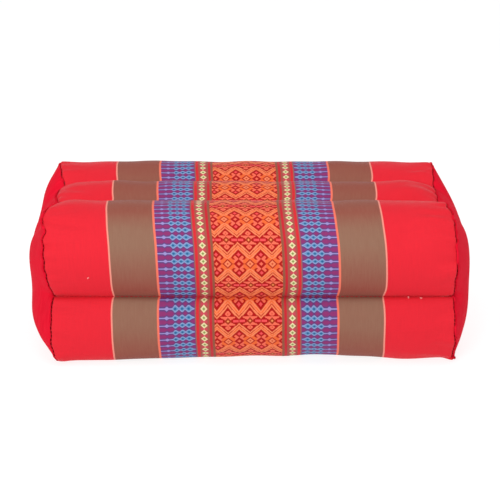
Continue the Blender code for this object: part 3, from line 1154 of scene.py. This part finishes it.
# %% The plain red cotton
COTTON_SPECULAR = 0.05
COTTON_PITCH = 0.04        # cm from thread to thread
COTTON_RELIEF = 0.3
COTTON_RED = dye(248, 38, 60)
COTTON_DEEP_RED = dye(236, 30, 52)


def plain_red_cotton():
    """The finish of the end panels."""
    finish = Finish("plain_red_cotton_cloth")
    place = finish.node("ShaderNodeTexCoord", {})
    parts = finish.node("ShaderNodeSeparateXYZ", {}, {0: place.outputs["Object"]})
    across = Number(finish, parts.outputs["Y"]) * CM
    along = Number(finish, parts.outputs["Z"]) * CM
    slub = finish.noise(across, along, (9.0, 0.8), 2.0)
    fibre = finish.noise(across, along, (16.0, 16.0), 3.0)
    colour = finish.mix(slub.rise(0.25, 0.8), COTTON_RED, COTTON_DEEP_RED)
    colour = finish.shade(colour, 0.92 + 0.14 * fibre)
    weave = plain_weave(finish, across, along, COTTON_PITCH) + fibre * 0.7 + slub * 0.5
    finish.dress(colour, 0.72 + 0.15 * fibre, COTTON_SPECULAR, weave, COTTON_RELIEF)
    return finish.material


red_cotton = plain_red_cotton()
for piece in panels.values():
    piece.data.materials.append(red_cotton)
    thickness = piece.modifiers.new("cloth thickness", "SOLIDIFY")
    thickness.thickness = PANEL_CLOTH
    thickness.offset = -1.0

# %% Smooth the cover
smooth = cover.modifiers.new("smooth", "SUBSURF")
smooth.levels = 1
smooth.render_levels = 1

# %% [markdown]
# The sewing itself comes last. A stitch is one short piece of thread, the same all along a seam, so
# it is set out by Geometry Nodes: the seam's line is cut into equal steps, and each step gets a
# stitch, a little uneven. Down in a channel seam the stitches run along it. At an end seam small
# stitches pull the two cloths together across the crease, which breaks its dark line into beads.
# The photo is too coarse to show a stitch, so their kind and their spacing are guessed.

# %% A tree of nodes that sews along a line
STITCH_INPUTS = {
    "Seam": "Geometry",
    "Pitch": "Float",
    "Length": "Float",
    "Thickness": "Float",
    "Tilt": "Float",
    "Seed": "Int",
    "Thread": "Material",
}
STITCH_BALL = {"Segments": 7, "Rings": 5, "Radius": 0.5}


def sewing_tree():
    """Takes a line of points and gives stitches along it. Every size is an input with a name."""
    tree = bpy.data.node_groups.new("stitches_along_a_seam", "GeometryNodeTree")
    entry = {}
    for name, kind in STITCH_INPUTS.items():
        entry[name] = tree.interface.new_socket(name=name, in_out="INPUT", socket_type="NodeSocket" + kind)
    tree.interface.new_socket(name="Stitches", in_out="OUTPUT", socket_type="NodeSocketGeometry")

    def node(kind, settings=None, inputs=None):
        made = tree.nodes.new(kind)
        for name, value in (settings or {}).items():
            setattr(made, name, value)
        for key, value in (inputs or {}).items():
            if isinstance(value, bpy.types.NodeSocket):
                tree.links.new(value, made.inputs[key])
            else:
                made.inputs[key].default_value = value
        return made

    given = node("NodeGroupInput").outputs
    line = node("GeometryNodeMeshToCurve", {}, {"Mesh": given["Seam"]})
    steps = node("GeometryNodeResampleCurve", {"mode": "LENGTH"},
                 {"Curve": line.outputs[0], "Length": given["Pitch"]})
    stitch = node("GeometryNodeMeshUVSphere", {}, STITCH_BALL)
    size = node("ShaderNodeCombineXYZ", {},
                {"X": given["Length"], "Y": given["Thickness"], "Z": given["Thickness"]})
    back = node("ShaderNodeMath", {"operation": "MULTIPLY"}, {0: given["Tilt"], 1: -1.0})
    tilt = node("FunctionNodeRandomValue", {"data_type": "FLOAT_VECTOR"},
                {"Min": back.outputs[0], "Max": given["Tilt"], "Seed": given["Seed"]})
    sewn = node("GeometryNodeInstanceOnPoints", {},
                {"Points": steps.outputs[0], "Instance": stitch.outputs["Mesh"],
                 "Rotation": tilt.outputs["Value"], "Scale": size.outputs[0]})
    real = node("GeometryNodeRealizeInstances", {}, {"Geometry": sewn.outputs[0]})
    smooth = node("GeometryNodeSetShadeSmooth", {}, {"Geometry": real.outputs[0]})
    coloured = node("GeometryNodeSetMaterial", {},
                    {"Geometry": smooth.outputs[0], "Material": given["Thread"]})
    node("NodeGroupOutput", {}, {0: coloured.outputs[0]})
    return tree, entry


# %% The lines of the seams
STITCH_DEPTH = 0.0017      # how deep the cross stitches lie in the crease of an end seam
CHANNEL_RISE = 0.0005      # how far the running stitches stand above the bottom of a channel seam
CROSS_SEED = 3
RUNNING_SEED = 10


def seam_line(name, points, closed):
    """A line of points as an object that holds only edges."""
    count = len(points)
    edges = [(k, (k + 1) % count) for k in range(count if closed else count - 1)]
    mesh = bpy.data.meshes.new(name)
    mesh.from_pydata([tuple(point) for point in points], edges, [])
    return add_object(name, mesh)


def end_seam_line(side):
    """The line of cross stitches down in the crease of an end seam."""
    rim = shifted(girth_ring(side, PANEL_PINCH), crease_wander[side] + CREASE_GAP / 2, side)
    return seam_line("end_seam", drawn_in(corner_moved(rim, side), STITCH_DEPTH), True)


def channel_seam_line(number):
    """The line of running stitches along the bottom of a channel seam."""
    column = sum(roll.steps for roll in ROLLS[:number])
    rings = cover_rings[len(left_end) + 2:-len(right_end) - 2]
    points = [drawn_in(ring, -CHANNEL_RISE)[column] for ring in rings]
    return seam_line("channel_seam", points, False)


# %% Sew
# the scale of the bands of painted shade and painted highlight of the twisted plies
PLY_PAINTED_LIGHT_SCALE = 900.0          # how close together the plies of the thread lie
# the thread's red in painted shade and in painted highlight; its own colour lies between them
THREAD_RED_IN_PAINTED_SHADE = dye(190, 20, 36)
THREAD_RED_PAINTED_HIGHLIGHT = dye(226, 36, 52)
THREAD_PALE = dye(255, 150, 148)


def thread_finish():
    """Red sewing thread: two plies twisted, with painted shade and painted highlight running slantwise
    round it.
    """
    finish = Finish("red_thread_painted_ply_light")
    place = finish.node("ShaderNodeTexCoord", {})
    # painted shade and painted highlight of the twisted plies, in slanting bands
    ply_painted_light = finish.node("ShaderNodeTexWave", {"bands_direction": "DIAGONAL"},
                      {"Vector": place.outputs["Object"], "Scale": PLY_PAINTED_LIGHT_SCALE})
    colour = finish.mix(ply_painted_light.outputs["Fac"], THREAD_RED_IN_PAINTED_SHADE, THREAD_RED_PAINTED_HIGHLIGHT)
    finish.dress(colour, 0.7, CLOTH_SPECULAR)
    return finish.material


def sew(line, tree, entry, values):
    """The stitches along one line as a plain mesh. The line itself is removed."""
    sewing = line.modifiers.new("sewing", "NODES")
    sewing.node_group = tree
    for name, value in values.items():
        sewing[entry[name].identifier] = value
    settled = line.evaluated_get(bpy.context.evaluated_depsgraph_get())
    mesh = bpy.data.meshes.new_from_object(settled)
    bpy.data.objects.remove(line)
    return mesh


def pale_thread_finish():
    """Pale thread for the three loose ends. The photo shows pale specks there, which may be thread."""
    finish = Finish("undyed_thread")
    finish.dress(THREAD_PALE, 0.8, CLOTH_SPECULAR)
    return finish.material


# where a thread end lies: place along the cushion (m), how far round the girth (cm)
THREAD_ENDS = ((0.1219, 59.34), (0.1322, 59.34), (-0.1243, 2.30))
THREAD_END_LENGTH = 0.0014
THREAD_END_RADIUS = 0.0005
THREAD_END_STEPS = 8
THREAD_END_SIDES = 8
CURL_DEPTH = 0.25          # how far the curl leans out of its plane
THREAD_TIP = 0.04          # keeps the tube's tip from closing to nothing
FIRST_TURN = 1.3           # which way the first thread end lies, in radians
NEXT_TURN = 2.1            # and how much further round the next one lies


def thread_end(shape, along, girth, turn):
    """A short curl of thread on the surface, as a bent tube closed at both ends."""
    ring = wrap_ring(along / HALF_LENGTH)
    column = int(np.abs(girth_cm - girth).argmin())
    middle = drawn_in(ring, -THREAD_END_RADIUS)[column]
    rings = []
    for step in range(THREAD_END_STEPS + 1):
        share = step / THREAD_END_STEPS - 0.5
        bend = math.pi * share + turn
        curl = np.array((math.sin(bend), -CURL_DEPTH * math.cos(bend), math.cos(bend)))
        centre = middle + THREAD_END_LENGTH / 2 * curl
        radius = THREAD_END_RADIUS * math.sqrt(max(THREAD_TIP, 1 - (2 * share) ** 4))
        heading = np.array((math.cos(bend), CURL_DEPTH * math.sin(bend), -math.sin(bend)))
        across = np.cross(heading, (0.0, 1.0, 0.0))
        across /= np.linalg.norm(across)
        upward = np.cross(heading, across)
        upward /= np.linalg.norm(upward)
        angles = np.linspace(0, 2 * math.pi, THREAD_END_SIDES, endpoint=False)
        rings.append([
            centre + radius * (math.cos(angle) * across + math.sin(angle) * upward)
            for angle in angles
        ])
    rows, _ = loft(shape, rings)
    shape.faces.new(rows[0][::-1])
    shape.faces.new(rows[-1])


tree, entry = sewing_tree()
thread = thread_finish()
cross = {"Pitch": 0.0034, "Length": 0.0018, "Thickness": 0.0010, "Tilt": 0.35, "Thread": thread}
running = {"Pitch": 0.0036, "Length": 0.0028, "Thickness": 0.0006, "Tilt": 0.12, "Thread": thread}
sewn = [
    sew(end_seam_line(side), tree, entry, {**cross, "Seed": CROSS_SEED + side})
    for side in (-1, 1)
]
sewn += [
    sew(channel_seam_line(number), tree, entry, {**running, "Seed": RUNNING_SEED + number})
    for number in range(len(CHANNEL_SEAMS))
]
shape = bmesh.new()
for mesh in sewn:
    shape.from_mesh(mesh)
    bpy.data.meshes.remove(mesh)
stitches = new_piece("seam_stitches", shape, closed=False)
stitches.data.materials.clear()
stitches.data.materials.append(thread)
print("faces of the stitches:", len(stitches.data.polygons))

shape = bmesh.new()
for number, (along, girth) in enumerate(THREAD_ENDS):
    thread_end(shape, along, girth, FIRST_TURN + NEXT_TURN * number)
thread_ends = new_piece("thread_ends", shape)
thread_ends.data.materials.append(pale_thread_finish())

# %% [markdown]
# The stage is a pale floor in a white studio. The strongest light comes from the front left, a
# weak one from the right, and a broad one from overhead, so the underside of every roll falls
# gently into shade and the right end is a little darker than the left.

# %% Floor, light and camera
WHITE = (1.0, 1.0, 1.0, 1.0)
FLOOR_SIZE = 6.0
FLOOR_GREY = (0.22, 0.22, 0.22, 1.0)
FLOOR_GLOW = 0.82
STUDIO_GLOW = 0.58
LIGHT_AIM = (0, 0, 0.06)
# a light: where it hangs, how wide and high it is (m), and its power (W)
LIGHTS = {
    "left": ((-0.90, -1.90, 1.10), (0.9, 0.7), 25),
    "right": ((1.5, -0.8, 0.8), (0.9, 0.7), 3.0),
    "overhead": ((0.0, -0.3, 1.7), (1.2, 0.9), 11),
}

floor_mesh = bpy.data.meshes.new("floor")
floor_shape = bmesh.new()
bmesh.ops.create_grid(floor_shape, x_segments=1, y_segments=1, size=FLOOR_SIZE)
floor_shape.to_mesh(floor_mesh)
floor_shape.free()
floor = add_object("floor", floor_mesh)
pale = Finish("pale_floor")
pale.put(pale.shader.inputs["Base Color"], FLOOR_GREY)
pale.put(pale.shader.inputs["Emission Color"], WHITE)
pale.put(pale.shader.inputs["Emission Strength"], FLOOR_GLOW)
pale.put(pale.shader.inputs["Roughness"], 0.9)
floor_mesh.materials.append(pale.material)

world = bpy.data.worlds.new("studio")
bpy.context.scene.world = world
world.use_nodes = True
world.node_tree.nodes["Background"].inputs["Color"].default_value = WHITE
world.node_tree.nodes["Background"].inputs["Strength"].default_value = STUDIO_GLOW


def soft_light(name, place, size, power):
    """Hang a soft rectangular light that shines at the cushion."""
    light = bpy.data.lights.new(name, "AREA")
    light.shape = "RECTANGLE"
    light.size, light.size_y = size
    light.energy = power
    lamp = add_object(name, light)
    lamp.location = place
    lamp.rotation_euler = (Vector(LIGHT_AIM) - Vector(place)).to_track_quat("-Z", "Y").to_euler()


for name, (place, size, power) in LIGHTS.items():
    soft_light(name, place, size, power)

# the camera of the photo, as a fit to the cushion's proportions gave it
FOCAL_PIXELS = 1640.0
IMAGE_SIDE = 500.0
SENSOR = 36.0
CAMERA_PLACE = (0.0008, -1.274, 0.549)
CAMERA_PITCH = math.radians(20.8)
camera_data = bpy.data.cameras.new("camera")
camera_data.sensor_width = SENSOR
camera_data.lens = FOCAL_PIXELS * SENSOR / IMAGE_SIDE
camera = add_object("camera", camera_data)
camera.location = CAMERA_PLACE
camera.rotation_euler = (math.pi / 2 - CAMERA_PITCH, 0.0, 0.0)
bpy.context.scene.camera = camera
bpy.context.scene.view_settings.view_transform = "Standard"
bpy.context.scene.view_settings.look = "None"

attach(cover, "root")
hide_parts("wrap_body")
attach(stitches, "root")
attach(thread_ends, "root")
for name, piece in panels.items():
    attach(piece, "root")
    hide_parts("end_panel_" + name)
